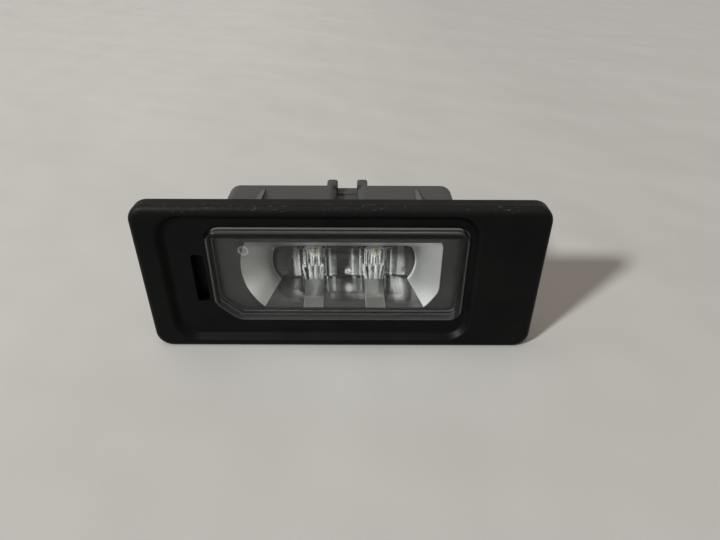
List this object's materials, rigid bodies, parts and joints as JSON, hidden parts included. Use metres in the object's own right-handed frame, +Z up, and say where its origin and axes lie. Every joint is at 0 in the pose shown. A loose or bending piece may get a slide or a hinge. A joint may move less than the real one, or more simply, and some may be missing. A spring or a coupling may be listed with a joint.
{
  "type": "number plate lamp",
  "caption": "Oblong light unit for a car's number plate: black bezel with a sunk field, clear lens, fluted light guide in a metallised bowl, closed housing with socket, spring clip and hook.",
  "frame": {"origin": "middle of the seat plane, where the rim of the bezel meets the panel", "axes": "+X along the lamp, +Y back into the car, normal to the seat, +Z up across the plate"},
  "size_m": [0.08, 0.0237, 0.0336],
  "materials": {
    "bezel": "black, fine satin grain",
    "lens": "clear polished plastic",
    "seal": "matt",
    "mask": "dark grey satin",
    "reflector": "metallised, satin",
    "light_guide": "clear polished plastic",
    "board": "solder mask, satin",
    "led": "matt",
    "phosphor": "soft gloss resin",
    "resistor": "satin",
    "diode": "satin",
    "capacitor": "satin",
    "contact": "tinned",
    "housing": "dark grey, fine satin grain",
    "membrane": "matt felt",
    "spring": "rolled strip"
  },
  "bodies": {
    "root": {"bezel": "bezel", "lens": "lens", "lens_seal": "seal", "mask": "mask", "reflector": "reflector", "light_guide": "light_guide", "circuit_board": "board", "led_left": "led", "led_right": "led", "phosphor_left": "phosphor", "phosphor_right": "phosphor", "resistor_1": "resistor", "resistor_2": "resistor", "resistor_3": "resistor", "resistor_4": "resistor", "protection_diode": "diode", "surge_diode": "diode", "capacitor_1": "capacitor", "capacitor_2": "capacitor", "contact_pin_left": "contact", "contact_pin_right": "contact", "housing": "housing", "vent_membrane": "membrane", "retaining_spring": "spring"}
  },
  "joints": []
}
